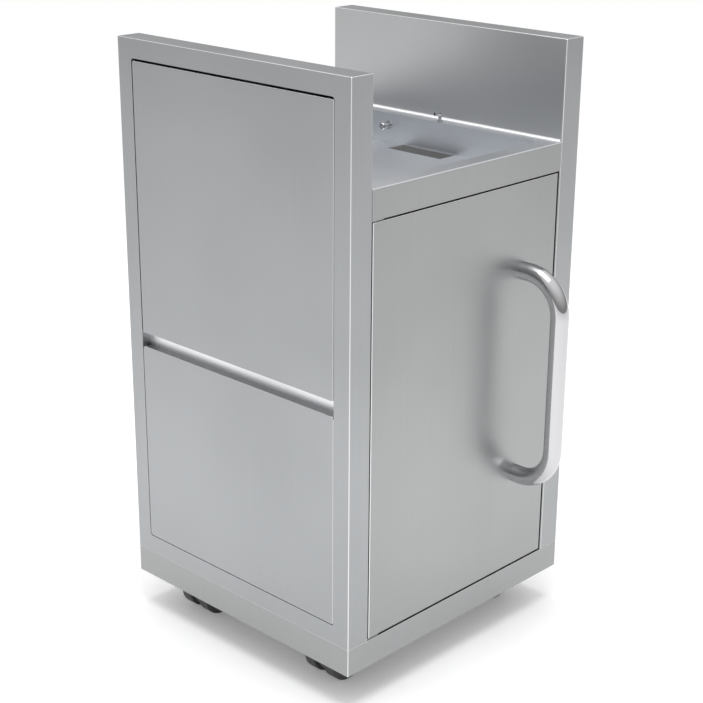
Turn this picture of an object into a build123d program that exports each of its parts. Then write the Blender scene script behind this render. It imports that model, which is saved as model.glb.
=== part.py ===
"""Portable handwash sink: a stainless cabinet on casters with a shallow bowl between two splash guards.

Millimetres, +Z up. The origin is on the floor under the middle of the cabinet. +X is to the right as
seen from the door side and +Y points to the back. Each piece is written to parts/ as its own STEP file.
"""
from build123d import *
import math
import os

os.makedirs("parts", exist_ok=True)


def save(builder, name):
    """Label a finished piece and write its STEP file."""
    builder.part.label = name
    export_step(builder.part, f"parts/{name}.step")


# ------------------------------------------------------------------ driving sizes
# Cabinet
body_width = 560.0
body_depth = 541.0
body_height = 990.0  # plinth bottom to the top of the splash guards
ground_clearance = 68.0  # floor to plinth bottom
plinth_height = 49.0
counter_height = 817.5  # plinth bottom to counter surface
wall_thickness = 46.5
sheet = 1.2  # body sheet
heavy_sheet = 2.0  # plinth, base pan and rails
top_sheet = 1.5  # countertop and cleats
bend_radius = 1.5  # outside of a folded corner
panel_softness = 1.0  # pressed outer edge of a side panel
seam_radius = 0.6  # softened edges where two skins meet

# Side panels
panel_margin = 34.5  # wall edge to panel opening, front and back
opening_top_drop = 33.0  # wall top to panel opening
opening_bottom_rise = 33.8  # plinth top to panel opening
return_depth = 12.0  # folded edge of a panel
lip_depth = 18.2  # folded edge of a wall opening
slot_height = 25.7
slot_rise = 453.0  # plinth bottom to the pull slot
slot_depth = 17.0
flap_side_gap = 1.5
flap_top_gap = 4.0
panel_gap = 0.8
panel_corner = 5.0
flap_pivot_inset = 8.0  # behind the face and below the top edge
flap_pin_radius = 2.5
flap_pin_reach = 8.0

# Door
door_depth = 22.0
door_gap_left = 2.5
door_gap_right = 3.0
door_gap_top = 3.0
door_gap_bottom = 3.5
apron_height = 50.0
jamb_width = 3.5
jamb_stop = 12.0
jamb_clearance = 0.5
hinge_pin_radius = 4.0
hinge_pin_reach = 16.0
hinge_inset_x = 10.0  # door edge to hinge line
hinge_inset_y = 6.5  # door face to hinge line
hinge_clearance = 0.05
bracket_gap = 1.0
liner_sheet = 1.0

# Handle
handle_radius = 16.0
handle_wall = 1.5
handle_standoff = 80.7  # door face to the middle of the grip
handle_bend = 67.0
handle_span = 375.5  # between the two arms
handle_rise = 233.5  # plinth bottom to the lower arm
handle_inset = 83.8  # free door edge to the middle of the tube
handle_plug = 13.0
handle_screw_radius = 3.0

# Bowl and drain
rim_width = 29.5
bowl_depth = 52.5
bowl_corner = 10.0
drain_length = 125.0
drain_width = 42.0
drain_offset = 1.5  # drain edge to bowl side
sump_depth = 34.0
sump_ledge = 3.0
grate_thickness = 3.0
grate_drop = 1.0
grate_clearance = 0.4
spigot_radius = 12.5
spigot_length = 22.0
hose_wall = 2.5

# Tap and valve
tap_offset = 9.0  # bowl edge to tap post
tap_forward = 15.0  # tap post in front of the cabinet's middle
tap_radius = 3.2
tap_bore = 1.6
tap_height = 18.5
tap_reach = 15.0
tap_bend = 4.5
tap_collar_radius = 5.5
tap_collar = 1.5
shank_radius = 4.2
shank_length = 8.0
valve_back = 100.3  # valve behind the cabinet's middle
valve_depth = 22.0  # counter surface to valve axis
valve_radius = 9.0
valve_length = 20.0
knob_radius = 6.5
knob_neck = 4.0
knob_reach = 21.0
knob_cap = 6.0
stem_radius = 3.0
escutcheon_radius = 8.0
escutcheon_thickness = 1.6
fitting_radius = 3.5
hose_radius = 5.0

# Tanks, pump and battery
tank_depth = 340.0
fresh_height = 320.0
waste_height = 360.0
tank_wall = 3.0
tank_corner = 22.0
tank_edge = 8.0
tank_front = 36.0  # cabinet front to the tanks
tank_side = 8.5  # left wall to the fresh tank
tank_spacing = 20.0
neck_radius = 22.0
neck_height = 20.0
neck_wall = 4.0
cap_radius = 26.0
cap_height = 18.0
cap_top = 3.0
grip_length = 120.0
grip_rise = 34.0
grip_radius = 9.0

# Casters
wheel_radius = 40.0
wheel_width = 24.5
wheel_track = 45.5
caster_inset = 107.0
caster_trail = 29.0
axle_radius = 4.0
axle_clearance = 0.05
kingpin_radius = 6.0
fork_web = 18.0
fork_head_radius = 23.0
plate_size = 62.0
plate_thickness = 3.0
caster_height = 98.0
caster_screw_radius = 3.0
caster_screw_offset = 24.0
caster_screw_head = 4.0
caster_screw_length = 12.0
caster_nut = 4.0
fork_gap = 0.5
fork_head_height = 13.0
fork_disc = 34.0  # rounded web between the two wheels
kingpin_length = 12.0
axle_shoulder = 0.8
axle_cap = 1.5
wheel_softness = 3.0

# Hidden frame parts
pan_edge = 20.0
rail_half = 35.0
apron_foot = 24.5
apron_flange = 18.0
back_inset = 3.0
cleat_leg = 12.0
cleat_front = 25.5
cleat_back = 6.0
post_leg = 15.0
post_drop = 30.0
back_screw_count = 4
back_screw_margin = 60.0
back_screw_inset = 8.0
back_screw_radius = 2.0
back_screw_reach = 6.0
back_screw_head = 2.0
vent_rows = 6
vent_pitch = 12.0
vent_height = 3.5
vent_length = 110.0
vent_side = 68.5  # wall to the near end of the vents
vent_depth = 192.0  # counter underside to the lowest vent

# Fits
pivot_clearance = 0.05
screw_clearance = 0.1

# Flap pivots and pull slot
flap_ear = 4.0
flap_pin_head = 1.5
channel_overlap = 10.0

# Door details
liner_edge = 10.0
pivot_block_height = 18.0
pivot_block_half = 10.0
bracket_reach = 14.0
bracket_setback = 1.5
bracket_depth = 19.0
handle_screw_reach = 12.0
handle_screw_head = 4.0
strike_inset = 14.0
strike_width = 23.0
strike_thickness = 0.9
catch_depth_below_top = 110.0
catch_height = 40.0
catch_depth = 14.0
catch_gap = 0.3

# Drain details
grate_lift = 0.1
grate_slots = 19
grate_pitch = 6.0
grate_slot = 2.5
grate_rim = 4.0
air_break = 25.0  # tank neck to the hose end
clamp_drop = 6.0
clamp_height = 8.0
clamp_wall = 1.5

# Tap and valve details
tap_tail = 7.0
tap_tail_radius = 2.6
tap_gap = 0.3
tap_nut_height = 5.0
tap_nut_radius = 7.2
nipple_length = 5.0
knob_gap = 0.3

# Tank tops
neck_side = 33.5  # drain middle to the side of the waste tank
neck_forward = 85.5
grip_behind = 64.5
cap_gap = 0.3
suction_inset = 17.5
dip_gap = 12.0

# Pump, battery and hoses
pump_aside = 30.0
pump_head = 60.0
pump_height = 60.0
pump_port_spacing = 32.0
pump_port_offset = 15.0
motor_length = 80.0
motor_radius = 24.0
motor_box = 10.0
battery_aside = 15.0
battery_length = 150.0
battery_width = 65.0
battery_height = 95.0
terminal_height = 8.0
terminal_radius = 5.0
lead_radius = 2.5
lead_rise = 45.0
lead_bend = 20.0
hose_bend = 25.0
tap_hose_bend = 6.0
suction_rise = 45.0
supply_rise = 60.0


# ------------------------------------------------------------------ places worked out from them
x_out = body_width / 2
x_in = x_out - wall_thickness
y_front = -body_depth / 2
y_back = body_depth / 2
z_plinth = ground_clearance + plinth_height
z_top = ground_clearance + body_height
z_counter = ground_clearance + counter_height
z_under = z_counter - top_sheet

# Side panels
opening_half = body_depth / 2 - panel_margin
opening_z0 = z_plinth + opening_bottom_rise
opening_z1 = z_top - opening_top_drop
slot_z0 = ground_clearance + slot_rise
slot_z1 = slot_z0 + slot_height
flap_half = opening_half - flap_side_gap
flap_z1 = opening_z1 - flap_top_gap
flap_pivot_x = x_out - flap_pivot_inset
flap_pivot_z = flap_z1 - flap_pivot_inset
lower_half = opening_half - panel_gap
lower_z0 = opening_z0 + panel_gap

back_y1 = y_back - back_inset
back_y0 = back_y1 - sheet

# Door
apron_z0 = z_counter - apron_height
door_x0 = -x_in + door_gap_left
door_x1 = x_in - jamb_width - door_gap_right
door_z0 = z_plinth + door_gap_bottom
door_z1 = apron_z0 - door_gap_top
door_y1 = y_front + door_depth
hinge_x = door_x0 + hinge_inset_x
hinge_y = y_front + hinge_inset_y
handle_x = door_x1 - handle_inset
handle_z0 = ground_clearance + handle_rise
handle_z1 = handle_z0 + handle_span
stop_y = door_y1 + jamb_clearance
strike_x1 = door_x1 - strike_inset
strike_x0 = strike_x1 - strike_width
catch_z = door_z1 - catch_depth_below_top

# Frame behind the counter and the back panel
cleat_y0 = y_front + cleat_front
cleat_y1 = back_y0 - cleat_back
vent_x = x_in - vent_side - vent_length / 2
vent_z = z_under - vent_depth
back_screw_step = (z_under - z_plinth - 2 * back_screw_margin) / (back_screw_count - 1)
back_screw_heights = [z_plinth + back_screw_margin + row * back_screw_step for row in range(back_screw_count)]

# Bowl, drain, tap and valve
bowl_x = x_in - rim_width
bowl_y = y_back - rim_width
bowl_z = z_counter - bowl_depth
sump_z1 = bowl_z - sheet
sump_z0 = sump_z1 - sump_depth
drain_x = bowl_x - drain_offset - drain_width / 2
grate_z1 = bowl_z - grate_drop
grate_z0 = grate_z1 - grate_thickness
tap_x = bowl_x + tap_offset
tap_y = -tap_forward
valve_y = valve_back
valve_z = z_counter - valve_depth
valve_x0 = bowl_x + sheet
valve_x1 = valve_x0 + valve_length
hose_outside = spigot_radius + hose_wall

# Tanks
fresh_x0 = -x_in + tank_side
tank_width = (drain_x + neck_side - fresh_x0 - tank_spacing) / 2
waste_x0 = fresh_x0 + tank_width + tank_spacing
tank_y0 = y_front + tank_front
tank_y1 = tank_y0 + tank_depth
fresh_x = fresh_x0 + tank_width / 2
waste_x = waste_x0 + tank_width / 2
tank_y = (tank_y0 + tank_y1) / 2
neck_y = tank_y - neck_forward
grip_y = tank_y + grip_behind
suction_y = tank_y1 - suction_inset
fresh_z1 = z_plinth + fresh_height
waste_z1 = z_plinth + waste_height

# Pump and battery, behind the tanks
pump_x = fresh_x + pump_aside
pump_y = (tank_y1 + back_y0) / 2
battery_x = waste_x - battery_aside
port_y = pump_y - pump_port_offset
lead_y = pump_y + pump_port_offset
inlet_x = pump_x - pump_port_spacing / 2
outlet_x = pump_x + pump_port_spacing / 2
pump_z1 = z_plinth + pump_height
battery_z1 = z_plinth + battery_height

# Casters
caster_x = x_out - caster_inset
caster_y = y_back - caster_inset
plate_z0 = caster_height - plate_thickness
fork_z1 = plate_z0 - fork_gap
fork_z0 = fork_z1 - fork_head_height
rail_z0 = caster_height


def block(x0, x1, y0, y1, z0, z1, mode=Mode.ADD):
    """A box between two planes on each axis."""
    with Locations(((x0 + x1) / 2, (y0 + y1) / 2, (z0 + z1) / 2)):
        Box(x1 - x0, y1 - y0, z1 - z0, mode=mode)


def upright(x, y, z0, z1, radius, mode=Mode.ADD):
    """A vertical cylinder between two heights."""
    with Locations((x, y, (z0 + z1) / 2)):
        Cylinder(radius, z1 - z0, mode=mode)


def along_x(x0, x1, y, z, radius, mode=Mode.ADD):
    """A cylinder lying along X."""
    with Locations(Location(((x0 + x1) / 2, y, z), (0, 90, 0))):
        Cylinder(radius, x1 - x0, mode=mode)


def along_y(x, y0, y1, z, radius, mode=Mode.ADD):
    """A cylinder lying along Y."""
    with Locations(Location((x, (y0 + y1) / 2, z), (90, 0, 0))):
        Cylinder(radius, y1 - y0, mode=mode)


def wall_plane(side):
    """Outer face of a side wall (-1 left, +1 right) with its normal pointing into the cabinet."""
    return Plane(origin=(side * x_out, 0, 0), x_dir=(0, -side, 0), z_dir=(-side, 0, 0))


# ------------------------------------------------------------------ side walls and their panels
opening_z = (opening_z0 + opening_z1) / 2
opening_height = opening_z1 - opening_z0
for hand, side in (("left", -1), ("right", 1)):
    face = wall_plane(side)
    x_low, x_high = sorted((side * x_in, side * x_out))

    with BuildPart() as wall:
        block(x_low, x_high, y_front, y_back, z_plinth, z_top)
        fillet(wall.edges().group_by(Axis.Z)[1:], bend_radius)
        fillet(wall.edges().group_by(Axis.Z)[0], seam_radius)
        block(x_low + sheet, x_high - sheet, y_front + sheet, y_back - sheet,
              z_plinth + sheet, z_top - sheet, Mode.SUBTRACT)
        with BuildSketch(face):
            with Locations((0, opening_z)):
                RectangleRounded(2 * (opening_half + sheet), opening_height + 2 * sheet, panel_corner + sheet)
        extrude(amount=lip_depth)
        with BuildSketch(face):
            with Locations((0, opening_z)):
                RectangleRounded(2 * opening_half, opening_height, panel_corner)
        extrude(amount=lip_depth, mode=Mode.SUBTRACT)
        along_y(side * flap_pivot_x, -opening_half - 2 * sheet, opening_half + 2 * sheet, flap_pivot_z,
                flap_pin_radius + pivot_clearance, Mode.SUBTRACT)
    save(wall, f"{hand}_wall")

    with BuildPart() as lower_panel:
        with BuildSketch(face):
            with Locations((0, (lower_z0 + slot_z0) / 2)):
                RectangleRounded(2 * lower_half, slot_z0 - lower_z0, panel_corner)
        extrude(amount=return_depth)
        fillet(lower_panel.faces().sort_by(Axis.X)[0 if side < 0 else -1].edges(), panel_softness)
        with BuildSketch(face.offset(sheet)):
            with Locations((0, (lower_z0 + slot_z0) / 2)):
                RectangleRounded(2 * (lower_half - sheet), slot_z0 - lower_z0 - 2 * sheet, panel_corner - sheet)
        extrude(amount=return_depth, mode=Mode.SUBTRACT)
        ledge_low, ledge_high = sorted((side * x_out, side * (x_out - slot_depth)))
        block(ledge_low + (return_depth / 2 if side < 0 else 0), ledge_high - (return_depth / 2 if side > 0 else 0),
              -lower_half + panel_corner, lower_half - panel_corner, slot_z0 - sheet, slot_z0)
    save(lower_panel, f"{hand}_lower_panel")

    with BuildPart() as flap:
        with BuildSketch(face):
            with Locations((0, (slot_z1 + flap_z1) / 2)):
                RectangleRounded(2 * flap_half, flap_z1 - slot_z1, panel_corner - flap_side_gap)
        extrude(amount=return_depth)
        fillet(flap.faces().sort_by(Axis.X)[0 if side < 0 else -1].edges(), panel_softness)
        with BuildSketch(face.offset(sheet)):
            with Locations((0, (slot_z1 + flap_z1) / 2)):
                RectangleRounded(2 * (flap_half - sheet), flap_z1 - slot_z1 - 2 * sheet,
                                 panel_corner - flap_side_gap - sheet)
        extrude(amount=return_depth, mode=Mode.SUBTRACT)
        ear_low, ear_high = sorted((side * (x_out - sheet), side * (x_out - return_depth)))
        for end in (-1, 1):
            ear_y0, ear_y1 = sorted((end * (flap_half - flap_ear), end * (flap_half - sheet)))
            block(ear_low, ear_high, ear_y0, ear_y1, flap_z1 - 2 * flap_pivot_inset, flap_z1 - sheet)
        along_y(side * flap_pivot_x, -flap_half, flap_half, flap_pivot_z,
                flap_pin_radius + pivot_clearance, Mode.SUBTRACT)
    save(flap, f"{hand}_flap")

with BuildPart() as pull_channels:
    for side in (-1, 1):
        plate_low, plate_high = sorted((side * (x_out - slot_depth), side * (x_out - slot_depth - sheet)))
        block(plate_low, plate_high, -opening_half, opening_half, slot_z0 - channel_overlap, slot_z1 + channel_overlap)
save(pull_channels, "pull_channels")

with BuildPart() as flap_pins:
    for side in (-1, 1):
        for end in (-1, 1):
            tip, root = end * (opening_half - flap_pin_reach), end * (opening_half + sheet)
            head = end * (opening_half + sheet + flap_pin_head)
            along_y(side * flap_pivot_x, *sorted((tip, root)), flap_pivot_z, flap_pin_radius)
            along_y(side * flap_pivot_x, *sorted((root, head)), flap_pivot_z, 2 * flap_pin_radius)
save(flap_pins, "flap_pins")

# ------------------------------------------------------------------ plinth and base
with BuildPart() as plinth:
    block(-x_out, x_out, y_front, y_back, ground_clearance, z_plinth)
    fillet(plinth.edges().filter_by(Axis.Z), bend_radius)
    fillet(plinth.edges().group_by(Axis.Z)[-1], seam_radius)
    block(-x_out + heavy_sheet, x_out - heavy_sheet, y_front + heavy_sheet, y_back - heavy_sheet,
          ground_clearance, z_plinth, Mode.SUBTRACT)
save(plinth, "plinth")

pan_x = x_out - heavy_sheet
pan_y = y_back - heavy_sheet
with BuildPart() as base_pan:
    block(-pan_x, pan_x, -pan_y, pan_y, z_plinth - pan_edge, z_plinth)
    block(-pan_x + heavy_sheet, pan_x - heavy_sheet, -pan_y + heavy_sheet, pan_y - heavy_sheet,
          z_plinth - pan_edge, z_plinth - heavy_sheet, Mode.SUBTRACT)
save(base_pan, "base_pan")

rail_x = pan_x - heavy_sheet
rail_z1 = z_plinth - heavy_sheet
with BuildPart() as caster_rails:
    for end in (-1, 1):
        y = end * caster_y
        block(-rail_x, rail_x, y - rail_half, y + rail_half, rail_z0, rail_z1)
        block(-rail_x, rail_x, y - rail_half + heavy_sheet, y + rail_half - heavy_sheet,
              rail_z0 + heavy_sheet, rail_z1, Mode.SUBTRACT)
        for side in (-1, 1):
            for dx in (-caster_screw_offset, caster_screw_offset):
                for dy in (-caster_screw_offset, caster_screw_offset):
                    upright(side * caster_x + dx, y + dy, rail_z0, rail_z0 + heavy_sheet,
                            caster_screw_radius + screw_clearance, Mode.SUBTRACT)
save(caster_rails, "caster_rails")

# ------------------------------------------------------------------ counter and front frame
with BuildPart() as countertop:
    block(-x_in, x_in, y_front, y_back, z_under, z_counter)
    with BuildSketch(Plane.XY.offset(z_counter)):
        RectangleRounded(2 * bowl_x, 2 * bowl_y, bowl_corner)
    extrude(amount=-top_sheet, mode=Mode.SUBTRACT)
    upright(tap_x, tap_y, z_under, z_counter, shank_radius + screw_clearance, Mode.SUBTRACT)
save(countertop, "countertop")

with BuildPart() as front_apron:
    block(-x_in, x_in, y_front, y_front + apron_foot, apron_z0, z_under)
    block(-x_in, x_in, y_front + top_sheet, y_front + apron_foot, apron_z0 + top_sheet, z_under - top_sheet,
          Mode.SUBTRACT)
    block(-x_in, x_in, y_front + apron_flange, y_front + apron_foot, z_under - top_sheet, z_under, Mode.SUBTRACT)
save(front_apron, "front_apron")

with BuildPart() as cleats:
    for side in (-1, 1):
        leg_low, leg_high = sorted((side * x_in, side * (x_in - cleat_leg)))
        wall_low, wall_high = sorted((side * x_in, side * (x_in - top_sheet)))
        block(leg_low, leg_high, cleat_y0, cleat_y1, z_under - top_sheet, z_under)
        block(wall_low, wall_high, cleat_y0, cleat_y1, z_under - cleat_leg, z_under)
        corner_low, corner_high = sorted((side * x_in, side * (x_in - post_leg)))
        block(corner_low, corner_high, back_y0 - top_sheet, back_y0, z_plinth, z_under - post_drop)
        block(wall_low, wall_high, back_y0 - post_leg, back_y0, z_plinth, z_under - post_drop)
        for z in back_screw_heights:
            along_y(side * (x_in - back_screw_inset), back_y0 - top_sheet, back_y0, z,
                    back_screw_radius + screw_clearance, Mode.SUBTRACT)
save(cleats, "cleats")

with BuildPart() as back_panel:
    block(-x_in, x_in, back_y0, back_y1, z_plinth, z_under)
    for side in (-1, 1):
        for z in back_screw_heights:
            along_y(side * (x_in - back_screw_inset), back_y0, back_y1, z,
                    back_screw_radius + screw_clearance, Mode.SUBTRACT)
        for row in range(vent_rows):
            with Locations((side * vent_x, (back_y0 + back_y1) / 2, vent_z + row * vent_pitch)):
                Box(vent_length, 2 * sheet, vent_height, mode=Mode.SUBTRACT)
save(back_panel, "back_panel")

with BuildPart() as back_screws:
    for side in (-1, 1):
        for z in back_screw_heights:
            x = side * (x_in - back_screw_inset)
            along_y(x, back_y0 - back_screw_reach, back_y1, z, back_screw_radius)
            along_y(x, back_y1, back_y1 + back_screw_head, z, 2 * back_screw_radius)
save(back_screws, "back_screws")

with BuildPart() as strike_jamb:
    block(x_in - jamb_width, x_in, y_front, stop_y + top_sheet, z_plinth, apron_z0)
    block(door_x1 - jamb_stop, x_in - jamb_width, stop_y, stop_y + top_sheet, z_plinth, apron_z0)
save(strike_jamb, "strike_jamb")

# ------------------------------------------------------------------ door
with BuildPart() as door_skin:
    block(door_x0, door_x1, y_front, door_y1, door_z0, door_z1)
    fillet(door_skin.faces().sort_by(Axis.Y)[0].edges(), bend_radius)
    block(door_x0 + sheet, door_x1 - sheet, y_front + sheet, door_y1, door_z0 + sheet, door_z1 - sheet,
          Mode.SUBTRACT)
    upright(hinge_x, hinge_y, door_z0, door_z1, hinge_pin_radius + hinge_clearance, Mode.SUBTRACT)
    for z in (handle_z0, handle_z1):
        along_y(handle_x, y_front, y_front + sheet, z, handle_screw_radius + screw_clearance, Mode.SUBTRACT)
save(door_skin, "door_skin")

liner_x0, liner_x1 = door_x0 + sheet, door_x1 - sheet
liner_z0, liner_z1 = door_z0 + sheet, door_z1 - sheet
with BuildPart() as door_liner:
    block(liner_x0, liner_x1, door_y1 - liner_edge, door_y1, liner_z0, liner_z1)
    block(liner_x0 + liner_sheet, liner_x1 - liner_sheet, door_y1 - liner_edge, door_y1 - liner_sheet,
          liner_z0 + liner_sheet, liner_z1 - liner_sheet, Mode.SUBTRACT)
save(door_liner, "door_liner")

with BuildPart() as door_pivot_blocks:
    for z0, z1 in ((liner_z0, liner_z0 + pivot_block_height), (liner_z1 - pivot_block_height, liner_z1)):
        block(liner_x0, hinge_x + pivot_block_half, y_front + sheet, door_y1 - liner_edge, z0, z1)
    upright(hinge_x, hinge_y, liner_z0, liner_z1, hinge_pin_radius + hinge_clearance, Mode.SUBTRACT)
save(door_pivot_blocks, "door_pivot_blocks")

bracket_z0 = door_z0 - bracket_gap
bracket_z1 = door_z1 + bracket_gap
with BuildPart() as hinge_brackets:
    block(-x_in, hinge_x + bracket_reach, y_front + bracket_setback, y_front + bracket_depth, z_plinth, bracket_z0)
    upright(hinge_x, hinge_y, z_plinth, bracket_z0 + hinge_pin_reach, hinge_pin_radius)
    block(-x_in, hinge_x + bracket_reach, y_front + bracket_setback, y_front + bracket_depth, bracket_z1, apron_z0)
    upright(hinge_x, hinge_y, bracket_z1 - hinge_pin_reach, apron_z0, hinge_pin_radius)
save(hinge_brackets, "hinge_brackets")

handle_y = y_front - handle_standoff
with BuildPart() as door_handle:
    with BuildLine(Plane((handle_x, 0, 0), x_dir=(0, 1, 0), z_dir=(1, 0, 0))) as outside_path:
        FilletPolyline((y_front, handle_z0), (handle_y, handle_z0), (handle_y, handle_z1), (y_front, handle_z1),
                       radius=handle_bend)
    with BuildSketch(Plane((handle_x, y_front, handle_z0), x_dir=(1, 0, 0), z_dir=(0, -1, 0))):
        Circle(handle_radius)
    sweep(path=outside_path.wire())
    with BuildLine(Plane((handle_x, 0, 0), x_dir=(0, 1, 0), z_dir=(1, 0, 0))) as inside_path:
        FilletPolyline((y_front - handle_plug, handle_z0), (handle_y, handle_z0), (handle_y, handle_z1),
                       (y_front - handle_plug, handle_z1), radius=handle_bend)
    with BuildSketch(Plane((handle_x, y_front - handle_plug, handle_z0), x_dir=(1, 0, 0), z_dir=(0, -1, 0))):
        Circle(handle_radius - handle_wall)
    sweep(path=inside_path.wire(), mode=Mode.SUBTRACT)
    for z in (handle_z0, handle_z1):
        along_y(handle_x, y_front - handle_plug, y_front, z, handle_screw_radius + screw_clearance, Mode.SUBTRACT)
save(door_handle, "door_handle")

with BuildPart() as handle_screws:
    for z in (handle_z0, handle_z1):
        along_y(handle_x, y_front - handle_screw_reach, y_front + sheet, z, handle_screw_radius)
        along_y(handle_x, y_front + sheet, y_front + sheet + handle_screw_head, z, 1.8 * handle_screw_radius)
save(handle_screws, "handle_screws")

with BuildPart() as strike_plate:
    block(strike_x0, strike_x1, door_y1, door_y1 + strike_thickness, catch_z - catch_height / 2, catch_z + catch_height / 2)
save(strike_plate, "strike_plate")

with BuildPart() as magnet_catch:
    block(strike_x0, x_in - jamb_width, stop_y + top_sheet, stop_y + top_sheet + catch_depth,
          catch_z - catch_height / 2, catch_z + catch_height / 2)
    block(strike_x0, strike_x1, door_y1 + strike_thickness + catch_gap, stop_y + top_sheet,
          catch_z - catch_height / 2, catch_z + catch_height / 2)
save(magnet_catch, "magnet_catch")

# ------------------------------------------------------------------ bowl and drain
with BuildPart() as bowl:
    with BuildSketch(Plane.XY.offset(sump_z1)):
        RectangleRounded(2 * (bowl_x + sheet), 2 * (bowl_y + sheet), bowl_corner + sheet)
    extrude(amount=z_under - sump_z1)
    with BuildSketch(Plane.XY.offset(bowl_z)):
        RectangleRounded(2 * bowl_x, 2 * bowl_y, bowl_corner)
    extrude(amount=z_under - bowl_z, mode=Mode.SUBTRACT)
    block(drain_x - drain_width / 2, drain_x + drain_width / 2, -drain_length / 2, drain_length / 2,
          sump_z1, bowl_z, Mode.SUBTRACT)
    along_x(bowl_x, bowl_x + sheet, valve_y, valve_z, stem_radius + pivot_clearance, Mode.SUBTRACT)
save(bowl, "bowl")

half_w, half_l = drain_width / 2, drain_length / 2
with BuildPart() as drain_sump:
    block(drain_x - half_w - sheet, drain_x + half_w + sheet, -half_l - sheet, half_l + sheet, sump_z0, sump_z1)
    block(drain_x - half_w, drain_x + half_w, -half_l, half_l, grate_z0, sump_z1, Mode.SUBTRACT)
    block(drain_x - half_w + sump_ledge, drain_x + half_w - sump_ledge, -half_l + sump_ledge, half_l - sump_ledge,
          grate_z0 - sheet, grate_z0, Mode.SUBTRACT)
    block(drain_x - half_w, drain_x + half_w, -half_l, half_l, sump_z0 + sheet, grate_z0 - sheet, Mode.SUBTRACT)
    upright(drain_x, 0, sump_z0 - spigot_length, sump_z0, spigot_radius)
    upright(drain_x, 0, sump_z0 - spigot_length, sump_z0 + sheet, spigot_radius - heavy_sheet, Mode.SUBTRACT)
save(drain_sump, "drain_sump")

grate_x = half_w - grate_clearance
grate_y = half_l - grate_clearance
with BuildPart() as drain_grate:
    block(drain_x - grate_x, drain_x + grate_x, -grate_y, grate_y, grate_z0 + grate_lift, grate_z1)
    for row in range(grate_slots):
        y = (row - (grate_slots - 1) / 2) * grate_pitch
        with Locations((drain_x, y, (grate_z0 + grate_z1) / 2)):
            Box(2 * (grate_x - grate_rim), grate_slot, 2 * grate_thickness, mode=Mode.SUBTRACT)
save(drain_grate, "drain_grate")

neck_z1 = waste_z1 + neck_height
with BuildPart() as drain_hose:
    upright(drain_x, 0, neck_z1 + air_break, sump_z0, hose_outside)
    upright(drain_x, 0, neck_z1 + air_break, sump_z0, spigot_radius + screw_clearance / 2, Mode.SUBTRACT)
save(drain_hose, "drain_hose")

clamp_z1 = sump_z0 - clamp_drop
with BuildPart() as hose_clamp:
    upright(drain_x, 0, clamp_z1 - clamp_height, clamp_z1, hose_outside + clamp_wall)
    upright(drain_x, 0, clamp_z1 - clamp_height, clamp_z1, hose_outside + pivot_clearance, Mode.SUBTRACT)
save(hose_clamp, "hose_clamp")

# ------------------------------------------------------------------ tap and valve
shank_z0 = z_counter - shank_length
with BuildPart() as tap_base:
    upright(tap_x, tap_y, z_counter, z_counter + tap_collar, tap_collar_radius)
    upright(tap_x, tap_y, shank_z0, z_counter, shank_radius)
    upright(tap_x, tap_y, shank_z0 - nipple_length, shank_z0, fitting_radius)
    upright(tap_x, tap_y, z_counter + tap_collar - tap_tail, z_counter + tap_collar,
            tap_tail_radius + pivot_clearance, Mode.SUBTRACT)
    upright(tap_x, tap_y, shank_z0 - nipple_length, z_counter, tap_bore, Mode.SUBTRACT)
save(tap_base, "tap_base")

with BuildPart() as tap_nut:
    with BuildSketch(Plane.XY.offset(z_under - tap_nut_height)):
        with Locations((tap_x, tap_y)):
            RegularPolygon(tap_nut_radius, 6)
            Circle(shank_radius + screw_clearance / 2, mode=Mode.SUBTRACT)
    extrude(amount=tap_nut_height)
save(tap_nut, "tap_nut")

spout_z0 = z_counter + tap_collar
spout_z1 = z_counter + tap_height - tap_radius
with BuildPart() as tap_spout:
    with BuildLine(Plane((tap_x, tap_y, 0), x_dir=(1, 0, 0), z_dir=(0, -1, 0))) as spout_path:
        FilletPolyline((0, spout_z0 + tap_gap), (0, spout_z1), (-tap_reach, spout_z1), radius=tap_bend)
    with BuildSketch(Plane.XY.offset(spout_z0 + tap_gap)):
        with Locations((tap_x, tap_y)):
            Circle(tap_radius)
    sweep(path=spout_path.wire())
    upright(tap_x, tap_y, spout_z0 - tap_tail + tap_gap, spout_z0 + tap_gap, tap_tail_radius)
    with BuildLine(Plane((tap_x, tap_y, 0), x_dir=(1, 0, 0), z_dir=(0, -1, 0))) as bore_path:
        FilletPolyline((0, spout_z0 - tap_tail), (0, spout_z1), (-tap_reach, spout_z1), radius=tap_bend)
    with BuildSketch(Plane.XY.offset(spout_z0 - tap_tail)):
        with Locations((tap_x, tap_y)):
            Circle(tap_bore)
    sweep(path=bore_path.wire(), mode=Mode.SUBTRACT)
save(tap_spout, "tap_spout")

with BuildPart() as valve_escutcheon:
    along_x(bowl_x - escutcheon_thickness, bowl_x, valve_y, valve_z, escutcheon_radius)
    along_x(bowl_x - escutcheon_thickness, bowl_x, valve_y, valve_z, stem_radius + pivot_clearance, Mode.SUBTRACT)
save(valve_escutcheon, "valve_escutcheon")

stem_x1 = valve_x0 + valve_length / 2
with BuildPart() as valve_body:
    block(valve_x0, valve_x1, valve_y - valve_radius, valve_y + valve_radius, valve_z - valve_radius,
          valve_z + valve_radius)
    along_y(tap_x, valve_y - valve_radius - nipple_length, valve_y + valve_radius + nipple_length, valve_z,
            fitting_radius)
    along_y(tap_x, valve_y - valve_radius - nipple_length, valve_y + valve_radius + nipple_length, valve_z,
            tap_bore, Mode.SUBTRACT)
    along_x(valve_x0, stem_x1, valve_y, valve_z, stem_radius + pivot_clearance, Mode.SUBTRACT)
save(valve_body, "valve_body")

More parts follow.
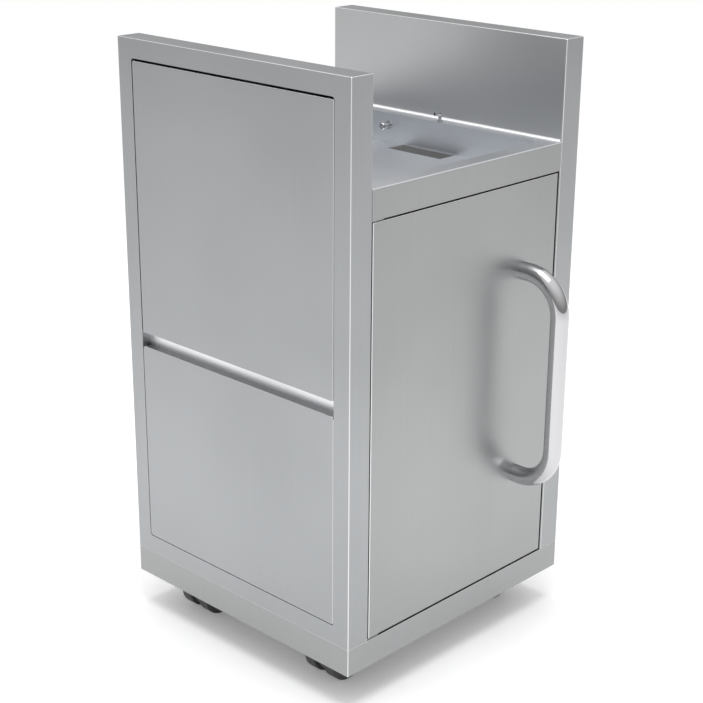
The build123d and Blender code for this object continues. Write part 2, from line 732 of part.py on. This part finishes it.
knob_x0 = bowl_x - knob_reach
with BuildPart() as valve_knob:
    along_x(knob_x0, knob_x0 + knob_cap, valve_y, valve_z, knob_radius)
    fillet(valve_knob.edges().group_by(Axis.X)[0], bend_radius)
    along_x(knob_x0 + knob_cap, bowl_x - escutcheon_thickness - knob_gap, valve_y, valve_z, knob_neck)
    along_x(bowl_x - escutcheon_thickness - knob_gap, stem_x1 - knob_gap, valve_y, valve_z, stem_radius)
save(valve_knob, "valve_knob")

# ------------------------------------------------------------------ tanks
for tank_name, x, z1, ports in (
    ("fresh_tank", fresh_x, fresh_z1, ((fresh_x, neck_y),)),
    ("waste_tank", waste_x, waste_z1, ((drain_x, 0),)),
):
    with BuildPart() as tank:
        with BuildSketch(Plane.XY.offset(z_plinth)):
            with Locations((x, tank_y)):
                RectangleRounded(tank_width, tank_depth, tank_corner)
        extrude(amount=z1 - z_plinth)
        fillet(tank.edges().group_by(Axis.Z)[0] + tank.edges().group_by(Axis.Z)[-1], tank_edge)
        with BuildLine(Plane((x, 0, 0), x_dir=(0, 1, 0), z_dir=(1, 0, 0))) as grip_path:
            FilletPolyline(
                (grip_y - grip_length / 2, z1 - tank_wall / 2), (grip_y - grip_length / 2, z1 + grip_rise),
                (grip_y + grip_length / 2, z1 + grip_rise), (grip_y + grip_length / 2, z1 - tank_wall / 2),
                radius=2 * grip_radius)
        with BuildSketch(Plane.XY.offset(z1 - tank_wall / 2)):
            with Locations((x, grip_y - grip_length / 2)):
                Circle(grip_radius)
        sweep(path=grip_path.wire())
        with BuildSketch(Plane.XY.offset(z_plinth + tank_wall)):
            with Locations((x, tank_y)):
                RectangleRounded(tank_width - 2 * tank_wall, tank_depth - 2 * tank_wall, tank_corner - tank_wall)
        extrude(amount=z1 - z_plinth - 2 * tank_wall, mode=Mode.SUBTRACT)
        for neck_x, neck_back in ports:
            upright(neck_x, neck_back, z1 - tank_wall, z1 + neck_height, neck_radius)
            upright(neck_x, neck_back, z1 - tank_wall, z1 + neck_height, neck_radius - neck_wall, Mode.SUBTRACT)
        if tank_name == "fresh_tank":
            upright(inlet_x, suction_y, z_plinth + tank_wall + dip_gap, z1 + nipple_length, fitting_radius)
            upright(inlet_x, suction_y, z_plinth + tank_wall + dip_gap, z1 + nipple_length, tap_bore, Mode.SUBTRACT)
    save(tank, tank_name)

cap_z1 = fresh_z1 + neck_height + cap_gap + cap_top
with BuildPart() as fresh_cap:
    upright(fresh_x, neck_y, cap_z1 - cap_height, cap_z1, cap_radius)
    fillet(fresh_cap.edges().group_by(Axis.Z)[-1], bend_radius)
    upright(fresh_x, neck_y, cap_z1 - cap_height, cap_z1 - cap_top, neck_radius + pivot_clearance, Mode.SUBTRACT)
save(fresh_cap, "fresh_cap")

# ------------------------------------------------------------------ pump, battery, hoses and lead
motor_x1 = pump_x - pump_head / 2
motor_z = z_plinth + pump_height / 2
with BuildPart() as pump:
    block(motor_x1, pump_x + pump_head / 2, pump_y - pump_head / 2, pump_y + pump_head / 2, z_plinth, pump_z1)
    for x in (inlet_x, outlet_x):
        upright(x, port_y, pump_z1, pump_z1 + nipple_length, fitting_radius)
        upright(x, port_y, pump_z1 - nipple_length, pump_z1 + nipple_length, tap_bore, Mode.SUBTRACT)
    along_x(motor_x1 - motor_length, motor_x1, pump_y, motor_z, motor_radius)
    block(motor_x1 - motor_length / 2 - motor_box, motor_x1 - motor_length / 2 + motor_box, lead_y - motor_box,
          lead_y + motor_box, motor_z, pump_z1)
save(pump, "pump")

with BuildPart() as battery:
    block(battery_x - battery_length / 2, battery_x + battery_length / 2, pump_y - battery_width / 2,
          pump_y + battery_width / 2, z_plinth, battery_z1)
    fillet(battery.edges().filter_by(Axis.Z), 2 * bend_radius)
    for dx in (-battery_length / 4, battery_length / 4):
        upright(battery_x + dx, lead_y, battery_z1, battery_z1 + terminal_height, terminal_radius)
save(battery, "battery")

with BuildPart() as power_lead:
    lead_x0 = motor_x1 - motor_length / 2
    lead_x1 = battery_x - battery_length / 4
    lead_z0 = pump_z1
    lead_z1 = battery_z1 + terminal_height
    with BuildLine(Plane((0, lead_y, 0), x_dir=(1, 0, 0), z_dir=(0, -1, 0))) as lead_path:
        FilletPolyline((lead_x0, lead_z0), (lead_x0, lead_z1 + lead_rise), (lead_x1, lead_z1 + lead_rise),
                       (lead_x1, lead_z1), radius=lead_bend)
    with BuildSketch(Plane.XY.offset(lead_z0)):
        with Locations((lead_x0, lead_y)):
            Circle(lead_radius)
    sweep(path=lead_path.wire())
save(power_lead, "power_lead")

hose_z = pump_z1 + supply_rise
hose_runs = (
    ("suction_hose", hose_bend, (
        (inlet_x, suction_y, fresh_z1), (inlet_x, suction_y, fresh_z1 + suction_rise),
        (inlet_x, port_y, fresh_z1 + suction_rise), (inlet_x, port_y, pump_z1))),
    ("supply_hose", hose_bend, (
        (outlet_x, port_y, pump_z1), (outlet_x, port_y, hose_z), (tap_x, port_y, hose_z),
        (tap_x, port_y, valve_z), (tap_x, valve_y + valve_radius, valve_z))),
    ("tap_hose", tap_hose_bend, (
        (tap_x, tap_y, shank_z0), (tap_x, tap_y, valve_z), (tap_x, valve_y - valve_radius, valve_z))),
)
for hose_name, bend, points in hose_runs:
    with BuildPart() as hose:
        for radius, mode in ((hose_radius, Mode.ADD), (fitting_radius + pivot_clearance, Mode.SUBTRACT)):
            with BuildLine() as run:
                FilletPolyline(*points, radius=bend)
            with BuildSketch(Plane(origin=points[0], z_dir=run.wire() % 0)):
                Circle(radius)
            sweep(path=run.wire(), mode=mode)
    save(hose, hose_name)

# ------------------------------------------------------------------ casters
with BuildPart() as caster_plates:
    for side in (-1, 1):
        for end in (-1, 1):
            x, y = side * caster_x, end * caster_y
            block(x - plate_size / 2, x + plate_size / 2, y - plate_size / 2, y + plate_size / 2, plate_z0,
                  caster_height)
            upright(x, y, plate_z0 - kingpin_length, plate_z0, kingpin_radius)
            for dx in (-caster_screw_offset, caster_screw_offset):
                for dy in (-caster_screw_offset, caster_screw_offset):
                    upright(x + dx, y + dy, plate_z0, caster_height, caster_screw_radius + screw_clearance,
                            Mode.SUBTRACT)
save(caster_plates, "caster_plates")

nut_z0 = caster_height + heavy_sheet
with BuildPart() as caster_screws:
    for side in (-1, 1):
        for end in (-1, 1):
            for dx in (-caster_screw_offset, caster_screw_offset):
                for dy in (-caster_screw_offset, caster_screw_offset):
                    x, y = side * caster_x + dx, end * caster_y + dy
                    upright(x, y, plate_z0 - caster_screw_head, plate_z0, 1.7 * caster_screw_radius)
                    upright(x, y, plate_z0, plate_z0 + caster_screw_length, caster_screw_radius)
                    upright(x, y, nut_z0, nut_z0 + caster_nut, 1.7 * caster_screw_radius)
save(caster_screws, "caster_screws")

wheel_y0 = wheel_track / 2 - wheel_width / 2
wheel_y1 = wheel_track / 2 + wheel_width / 2
for corner, side, end in (("front_left", -1, -1), ("front_right", 1, -1), ("rear_left", -1, 1), ("rear_right", 1, 1)):
    x, y = side * caster_x, end * caster_y
    axle_x = x + side * caster_trail

    with BuildPart() as fork:
        with BuildSketch(Plane.XZ.offset(-y - fork_web / 2)):
            with Locations((axle_x, wheel_radius)):
                Circle(fork_disc)
            with Locations((x, fork_z0 - fork_web / 2)):
                Rectangle(2 * fork_web, fork_web)
            make_hull()
        extrude(amount=fork_web)
        block(x - 2 * wheel_radius, x + 2 * wheel_radius, y - fork_web, y + fork_web, fork_z0, fork_z1, Mode.SUBTRACT)
        upright(x, y, fork_z0, fork_z1, fork_head_radius)
        upright(x, y, plate_z0 - kingpin_length - fork_gap, fork_z1, kingpin_radius + pivot_clearance, Mode.SUBTRACT)
        along_y(axle_x, y - fork_web, y + fork_web, wheel_radius, axle_radius + axle_clearance, Mode.SUBTRACT)
    save(fork, f"{corner}_fork")

    with BuildPart() as axle:
        along_y(axle_x, y - wheel_y1 - fork_gap - axle_cap, y + wheel_y1 + fork_gap + axle_cap, wheel_radius,
                axle_radius)
        for flip in (-1, 1):
            shoulder = sorted((y + flip * fork_web / 2, y + flip * (fork_web / 2 + axle_shoulder)))
            cap = sorted((y + flip * (wheel_y1 + fork_gap), y + flip * (wheel_y1 + fork_gap + axle_cap)))
            along_y(axle_x, *shoulder, wheel_radius, 2 * axle_radius)
            along_y(axle_x, *cap, wheel_radius, 2 * axle_radius)
    save(axle, f"{corner}_axle")

    with BuildPart() as wheels:
        for flip in (-1, 1):
            along_y(axle_x, *sorted((y + flip * wheel_y0, y + flip * wheel_y1)), wheel_radius, wheel_radius)
        fillet(wheels.edges(), wheel_softness)
        along_y(axle_x, y - wheel_y1, y + wheel_y1, wheel_radius, axle_radius + axle_clearance, Mode.SUBTRACT)
    save(wheels, f"{corner}_wheels")
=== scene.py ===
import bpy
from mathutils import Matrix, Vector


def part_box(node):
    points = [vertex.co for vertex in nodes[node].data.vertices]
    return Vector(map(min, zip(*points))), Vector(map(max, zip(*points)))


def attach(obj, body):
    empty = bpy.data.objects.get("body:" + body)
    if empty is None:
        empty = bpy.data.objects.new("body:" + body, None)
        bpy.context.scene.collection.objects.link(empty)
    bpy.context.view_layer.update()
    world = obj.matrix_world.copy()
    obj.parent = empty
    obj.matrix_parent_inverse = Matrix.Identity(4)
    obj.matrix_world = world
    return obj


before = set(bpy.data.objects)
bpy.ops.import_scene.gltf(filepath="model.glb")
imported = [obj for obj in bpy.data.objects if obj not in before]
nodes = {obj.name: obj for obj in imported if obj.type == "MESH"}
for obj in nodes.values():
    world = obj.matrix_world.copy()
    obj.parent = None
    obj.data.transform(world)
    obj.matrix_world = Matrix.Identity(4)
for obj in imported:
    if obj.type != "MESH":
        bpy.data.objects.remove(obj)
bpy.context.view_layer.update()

import math

import bpy
from mathutils import Matrix, Vector

# ------------------------------------------------------------------ values, in metres and degrees
CAMERA_PLACE = (-1.8892, -1.8244, 1.4546)
CAMERA_AZIMUTH = -46.064
CAMERA_ELEVATION = 20.008
CAMERA_ROLL = 0.383
CAMERA_LENS = 80.02
SENSOR_WIDTH = 36.0

GRAIN_LENGTH_SCALE = 4  # noise scale along the brushing
GRAIN_WIDTH_SCALE = 900  # noise scale across the brushing
EDGE_HIGHLIGHT_FULL = 0.85  # largest normal component at which a bent edge has the full painted highlight
RELIEF_DEPTH = 0.0005
FACE_TOLERANCE = 0.0005
INNER_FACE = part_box("right_wall")[0][0] + FACE_TOLERANCE

BEAD_LEG = 0.0035
BEAD_STEPS = 8

FLOOR_SIZE = 30
FLOOR_COLOUR = (0.95, 0.95, 0.95, 1)
FLOOR_GLOW = 0.16

HORIZON_LIGHT = 0.34
ZENITH_LIGHT = 1.05
HORIZON_TOP = 0.1  # height of the view direction where the sky starts to brighten
ZENITH_START = 0.8  # height of the view direction where it is at its brightest
LAMP_HEIGHT = 3.4
LAMP_SETBACK = 0.3  # towards the front left
LAMP_WIDTH = 2.0
LAMP_POWER = 62.0

CORNERS = ("front_left", "front_right", "rear_left", "rear_right")


# ------------------------------------------------------------------ node helpers
def new_material(name):
    """A node material with its Principled shader."""
    material = bpy.data.materials.new(name)
    material.use_nodes = True
    tree = material.node_tree
    return material, tree, tree.nodes["Principled BSDF"]


def add(tree, kind, **inputs):
    """A node of this kind, with its named inputs set."""
    node = tree.nodes.new(kind)
    for key, value in inputs.items():
        node.inputs[key.replace("_", " ")].default_value = value
    return node


def calculate(tree, operation, first, second=None):
    """The result of a maths step on one or two outputs; a plain number is set as a constant."""
    step = tree.nodes.new("ShaderNodeMath")
    step.operation = operation
    for index, value in enumerate((first, second)):
        if isinstance(value, float):
            step.inputs[index].default_value = value
        elif value is not None:
            tree.links.new(value, step.inputs[index])
    return step.outputs["Value"]


def blend(tree, factor, base, colour):
    """A mix from the base output to one plain colour."""
    mix = tree.nodes.new("ShaderNodeMix")
    mix.data_type = "RGBA"
    tree.links.new(factor, mix.inputs["Factor"])
    tree.links.new(base, mix.inputs["A"])
    mix.inputs["B"].default_value = (*colour, 1)
    return mix.outputs["Result"]


def ramp(tree, source, low, high, start=0.3, end=0.7):
    """A colour ramp between two grays or colours."""
    node = tree.nodes.new("ShaderNodeValToRGB")
    tree.links.new(source, node.inputs["Fac"])
    first, last = node.color_ramp.elements
    first.position, last.position = start, end
    first.color = (*low, 1) if isinstance(low, tuple) else (low, low, low, 1)
    last.color = (*high, 1) if isinstance(high, tuple) else (high, high, high, 1)
    return node.outputs["Color"]


def add_relief(tree, shader, height, strength):
    """Fine surface relief from a height output."""
    relief = add(tree, "ShaderNodeBump", Strength=strength, Distance=RELIEF_DEPTH)
    tree.links.new(height, relief.inputs["Height"])
    tree.links.new(relief.outputs["Normal"], shader.inputs["Normal"])


def edge_highlight_mask(tree, coords):
    """How far the surface normal is from every axis: 0 on flat sheet, up on bent edges; the mask of
    the painted edge highlight.
    """
    split = tree.nodes.new("ShaderNodeSeparateXYZ")
    tree.links.new(coords.outputs["Normal"], split.inputs["Vector"])
    across, along, up = (calculate(tree, "ABSOLUTE", split.outputs[axis]) for axis in "XYZ")
    largest = calculate(tree, "MAXIMUM", calculate(tree, "MAXIMUM", across, along), up)
    mask = add(tree, "ShaderNodeMapRange", From_Min=1.0, From_Max=EDGE_HIGHLIGHT_FULL, To_Min=0.0, To_Max=1.0)
    tree.links.new(largest, mask.inputs["Value"])
    return mask.outputs["Result"]


def bowl_light_mask(tree, coords):
    """1 on the guards' faces over the bowl, and 0 elsewhere: the mask of the light painted there.
    """
    place = tree.nodes.new("ShaderNodeSeparateXYZ")
    tree.links.new(coords.outputs["Object"], place.inputs["Vector"])
    across = calculate(tree, "ABSOLUTE", place.outputs["X"])
    return calculate(tree, "LESS_THAN", across, INNER_FACE)


# ------------------------------------------------------------------ material kinds
def brushed(name, colour, roughness=0.36, along="Z", spread=0.05, bump=0.02, edge_highlight=0.0, painted_bowl_light=0.0):
    """Brushed sheet: grain stretched along one axis, faint cloudiness and a satin shine.

    Its bent edges can take a lighter gray, a painted highlight, and its faces over the bowl a
    lighter gray, painted light for the hollow.
    """
    material, tree, shader = new_material(name)
    coords = tree.nodes.new("ShaderNodeTexCoord")
    scale = [GRAIN_LENGTH_SCALE if axis == along else GRAIN_WIDTH_SCALE for axis in "XYZ"]
    mapping = add(tree, "ShaderNodeMapping", Scale=scale)
    tree.links.new(coords.outputs["Object"], mapping.inputs["Vector"])
    grain = add(tree, "ShaderNodeTexNoise", Scale=1.0, Detail=3.0, Roughness=0.6)
    tree.links.new(mapping.outputs["Vector"], grain.inputs["Vector"])
    cloud = add(tree, "ShaderNodeTexNoise", Scale=3.0, Detail=2.0)
    tree.links.new(coords.outputs["Object"], cloud.inputs["Vector"])

    grain_and_painted_light = ramp(tree, grain.outputs["Fac"], tuple(c * (1 - spread) for c in colour),
                tuple(c * (1 + spread) for c in colour))
    # faces over the bowl lightened: painted light in the hollow between the guards
    if painted_bowl_light:
        grain_and_painted_light = blend(tree, bowl_light_mask(tree, coords), grain_and_painted_light, (painted_bowl_light, painted_bowl_light * 1.01, painted_bowl_light * 1.02))
    # bent edges lightened: a painted highlight
    if edge_highlight:
        grain_and_painted_light = blend(tree, edge_highlight_mask(tree, coords), grain_and_painted_light, (edge_highlight, edge_highlight, edge_highlight))
    tree.links.new(grain_and_painted_light, shader.inputs["Base Color"])

    rough = add(tree, "ShaderNodeMapRange", From_Min=0.35, From_Max=0.65,
                To_Min=roughness * 0.85, To_Max=roughness * 1.15)
    tree.links.new(cloud.outputs["Fac"], rough.inputs["Value"])
    tree.links.new(rough.outputs["Result"], shader.inputs["Roughness"])
    add_relief(tree, shader, grain.outputs["Fac"], bump)
    shader.inputs["Metallic"].default_value = 1.0
    return material


def moulded(name, low, high, roughness=0.5, scale=600.0, bump=0.05):
    """Moulded plastic or rubber: fine texture and slight colour variation."""
    material, tree, shader = new_material(name)
    coords = tree.nodes.new("ShaderNodeTexCoord")
    grain = add(tree, "ShaderNodeTexNoise", Scale=scale, Detail=2.0)
    tree.links.new(coords.outputs["Object"], grain.inputs["Vector"])
    cloud = add(tree, "ShaderNodeTexNoise", Scale=14.0, Detail=3.0)
    tree.links.new(coords.outputs["Object"], cloud.inputs["Vector"])
    tree.links.new(ramp(tree, cloud.outputs["Fac"], low, high), shader.inputs["Base Color"])
    add_relief(tree, shader, grain.outputs["Fac"], bump)
    shader.inputs["Roughness"].default_value = roughness
    return material


def dress(material, *names):
    """Gives CAD nodes a better material."""
    for name in names:
        for index in range(len(nodes[name].material_slots)):
            nodes[name].material_slots[index].material = material


# ------------------------------------------------------------------ metals
# Sheet steel of the sides, a touch lighter and bluer than the front sheets: painted light falling
# on the sides; its bent edges carry a painted highlight and its faces over the bowl painted light.
side_steel = brushed("side_steel", (0.365, 0.375, 0.385), spread=0.02, bump=0.01,
                     edge_highlight=0.85, painted_bowl_light=0.52)
dress(side_steel, "left_wall", "right_wall", "left_lower_panel", "right_lower_panel",
      "left_flap", "right_flap")

# Sheet steel of the front and back, a touch darker than the sides: painted shade; its bent edges
# carry a painted highlight.
panel_steel = brushed("panel_steel", (0.355, 0.36, 0.362), spread=0.02, bump=0.01, edge_highlight=0.85)
dress(panel_steel, "front_apron", "back_panel", "strike_jamb", "door_skin", "door_liner", "plinth")

# The counter and bowl take a far lighter copy of the same steel: painted light, standing in for the
# light in the hollow between the guards.
top_steel_painted_light = brushed("top_steel_painted_light", (0.66, 0.68, 0.71), along="Y", spread=0.02, bump=0.01)
dress(top_steel_painted_light, "countertop", "bowl")

frame_metal = brushed("frame_metal", (0.30, 0.30, 0.31), 0.4, along="X")
dress(frame_metal, "base_pan", "caster_rails", "cleats", "drain_sump", "hinge_brackets",
      "door_pivot_blocks", "strike_plate", "caster_plates", "flap_pins")

# Near-white steel in the pull channels: painted light, lifting the shade inside the recesses.
channel_steel = brushed("channel_painted_light", (0.92, 0.92, 0.94), 0.4, along="Y")
dress(channel_steel, "pull_channels")

zinc = brushed("zinc", (0.5, 0.5, 0.52), 0.3, along="X")
dress(zinc, "back_screws", "handle_screws", "caster_screws", "tap_nut", "hose_clamp",
      *(corner + "_axle" for corner in CORNERS))

chrome = brushed("polished_chrome", (0.56, 0.56, 0.57), 0.08, spread=0.01, bump=0.002)
dress(chrome, "door_handle", "tap_base", "tap_spout", "valve_knob", "valve_escutcheon")

brass = brushed("plain_brass", (0.66, 0.47, 0.20), 0.3, along="X")
dress(brass, "valve_body")

# ------------------------------------------------------------------ plastics and rubber
grate_dark = moulded("grate_dark", 0.08, 0.10)
dress(grate_dark, "drain_grate")

black_rubber = moulded("black_rubber", 0.025, 0.035, 0.7)
dress(black_rubber, "drain_hose", "power_lead")

fork_black = moulded("fork_black", 0.05, 0.065, 0.45)
dress(fork_black, *(corner + "_fork" for corner in CORNERS))

wheel_black = moulded("wheel_black", 0.05, 0.065)
dress(wheel_black, *(corner + "_wheels" for corner in CORNERS))

milky_tube = moulded("milky_tube", 0.62, 0.70, 0.4, 200.0, 0.02)
dress(milky_tube, "suction_hose", "supply_hose", "tap_hose")

tank_white = moulded("tank_white", (0.62, 0.66, 0.68), (0.70, 0.73, 0.74), 0.42, 300.0, 0.06)
dress(tank_white, "fresh_tank", "waste_tank")

cap_blue = moulded("cap_blue", (0.03, 0.10, 0.36), (0.05, 0.13, 0.42), 0.4)
dress(cap_blue, "fresh_cap")

pump_black = moulded("pump_black", 0.04, 0.055)
dress(pump_black, "pump")

battery_gray = moulded("battery_gray", 0.07, 0.09, 0.45)
dress(battery_gray, "battery")

catch_white = moulded("catch_white", 0.72, 0.78, 0.45)
dress(catch_white, "magnet_catch")

# ------------------------------------------------------------------ coves painted near-white as highlights
# Near-white colour of the coves: a painted highlight along the junction of guard and counter.
highlight_white = moulded("highlight_white", 0.80, 0.86, 0.4, 300.0, 0.03)


def highlight_cove(name, wall, side):
    """A hollow-faced cove in the corner between a guard and the counter, near-white as a painted
    highlight along the junction.
    """
    guard_low, guard_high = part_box(wall)
    counter_low, counter_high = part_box("countertop")
    corner_x = guard_high[0] if side < 0 else guard_low[0]
    corner_z = counter_high[2]
    profile = [(0.0, 0.0)]
    for step in range(BEAD_STEPS + 1):
        angle = math.radians(90) * step / BEAD_STEPS
        profile.append((BEAD_LEG * (1 - math.sin(angle)), BEAD_LEG * (1 - math.cos(angle))))
    points, faces, count = [], [], len(profile)
    for y in (counter_low[1] + BEAD_LEG, counter_high[1] - BEAD_LEG):
        points += [(corner_x - side * across, y, corner_z + up) for across, up in profile]
    for index in range(count):
        after = (index + 1) % count
        faces.append((index, after, after + count, index + count))
    faces += [tuple(range(count)), tuple(range(2 * count - 1, count - 1, -1))]
    mesh = bpy.data.meshes.new(name)
    mesh.from_pydata(points, [], faces)
    mesh.materials.append(highlight_white)
    bead = bpy.data.objects.new(name, mesh)
    bpy.context.collection.objects.link(bead)
    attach(bead, "frame")


highlight_cove("left_highlight_cove", "left_wall", -1)
highlight_cove("right_highlight_cove", "right_wall", 1)


# ------------------------------------------------------------------ floor
def seen_directly(tree):
    """1 for what the camera sees, mirrors or looks through, and 0 for the light on the object."""
    path = tree.nodes.new("ShaderNodeLightPath")
    total = path.outputs["Is Camera Ray"]
    for kind in ("Is Glossy Ray", "Is Transmission Ray"):
        total = calculate(tree, "ADD", total, path.outputs[kind])
        total.node.use_clamp = True
    return total


floor_material, floor_tree, floor_shader = new_material("floor")
floor_shader.inputs["Base Color"].default_value = FLOOR_COLOUR
floor_shader.inputs["Roughness"].default_value = 0.9
floor_shader.inputs["Specular IOR Level"].default_value = 0.0
floor_shader.inputs["Emission Color"].default_value = (1, 1, 1, 1)
floor_glow = calculate(floor_tree, "MULTIPLY", seen_directly(floor_tree), FLOOR_GLOW)
floor_tree.links.new(floor_glow, floor_shader.inputs["Emission Strength"])
bpy.ops.mesh.primitive_plane_add(size=FLOOR_SIZE, location=(0, 0, 0))
floor = bpy.context.object
floor.name = "floor_sheet"
floor.data.materials.append(floor_material)

# ------------------------------------------------------------------ light
world = bpy.data.worlds.new("studio")
bpy.context.scene.world = world
world.use_nodes = True
world_tree = world.node_tree
sky = world_tree.nodes["Background"]
direction = world_tree.nodes.new("ShaderNodeTexCoord")
height = world_tree.nodes.new("ShaderNodeSeparateXYZ")
world_tree.links.new(direction.outputs["Generated"], height.inputs["Vector"])
level = add(world_tree, "ShaderNodeMapRange", From_Min=HORIZON_TOP, From_Max=ZENITH_START,
            To_Min=HORIZON_LIGHT, To_Max=ZENITH_LIGHT)
world_tree.links.new(height.outputs["Z"], level.inputs["Value"])
world_tree.links.new(level.outputs["Result"], sky.inputs["Strength"])
sky.inputs["Color"].default_value = (1, 1, 1, 1)

lamp_data = bpy.data.lights.new("overhead", "AREA")
lamp_data.shape = "SQUARE"
lamp_data.size = LAMP_WIDTH
lamp_data.energy = LAMP_POWER
lamp = bpy.data.objects.new("overhead", lamp_data)
lamp.location = (-LAMP_SETBACK, -LAMP_SETBACK, LAMP_HEIGHT)
bpy.context.collection.objects.link(lamp)

# ------------------------------------------------------------------ camera
camera_data = bpy.data.cameras.new("camera")
camera_data.lens = CAMERA_LENS
camera_data.sensor_width = SENSOR_WIDTH
camera = bpy.data.objects.new("camera", camera_data)
bpy.context.collection.objects.link(camera)
azimuth, elevation = math.radians(CAMERA_AZIMUTH), math.radians(CAMERA_ELEVATION)
forward = Vector((-math.sin(azimuth) * math.cos(elevation),
                  math.cos(azimuth) * math.cos(elevation), -math.sin(elevation)))
turn = forward.to_track_quat("-Z", "Y").to_matrix().to_4x4()
camera.matrix_world = (Matrix.Translation(CAMERA_PLACE) @ turn
                       @ Matrix.Rotation(math.radians(CAMERA_ROLL), 4, "Z"))
scene = bpy.context.scene
scene.camera = camera
scene.view_settings.view_transform = "Standard"
